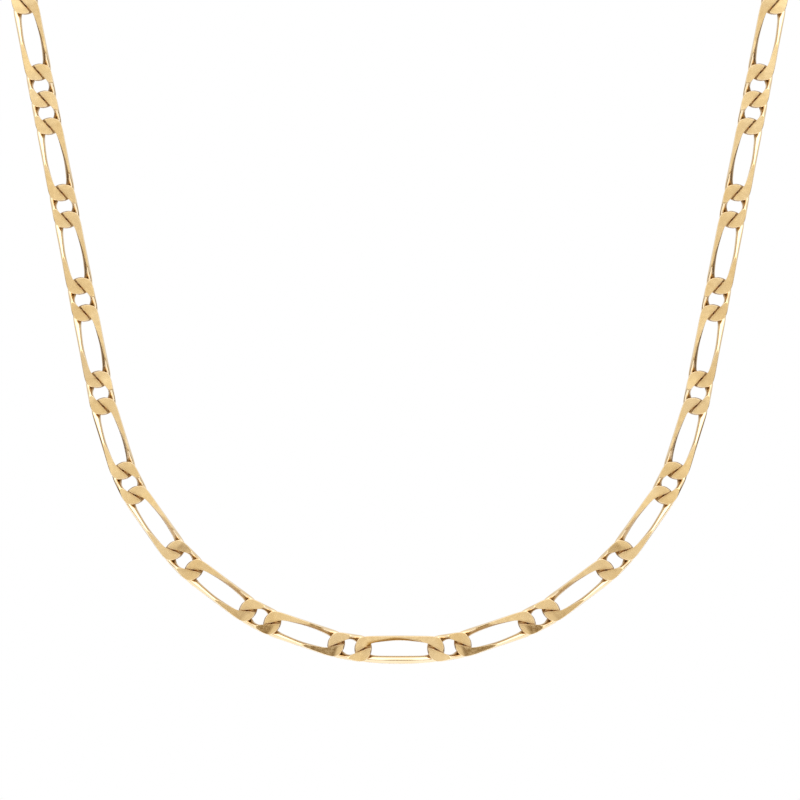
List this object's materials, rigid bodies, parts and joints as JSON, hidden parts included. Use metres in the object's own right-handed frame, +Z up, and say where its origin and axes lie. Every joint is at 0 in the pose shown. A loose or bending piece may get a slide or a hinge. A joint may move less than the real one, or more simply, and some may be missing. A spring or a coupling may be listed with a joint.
{
  "type": "figaro chain",
  "caption": "Flat figaro chain necklace of planed long and small links that interlock, a closed loop round a neck opening, joined at the nape by a plain clasp.",
  "frame": {"origin": "middle of the neck opening, level with the clasp at the nape, where the necklace bears on a neck", "axes": "+X across the neck, +Y from the front of the necklace to the nape, +Z up"},
  "size_m": [0.1212, 0.073, 0.1433],
  "materials": {
    "gold": "gold plate, planed flats and polished round wire"
  },
  "bodies": {
    "root": {"right_chain": "gold", "left_chain": "gold", "centre_link": "gold", "clasp": "gold"}
  },
  "joints": []
}
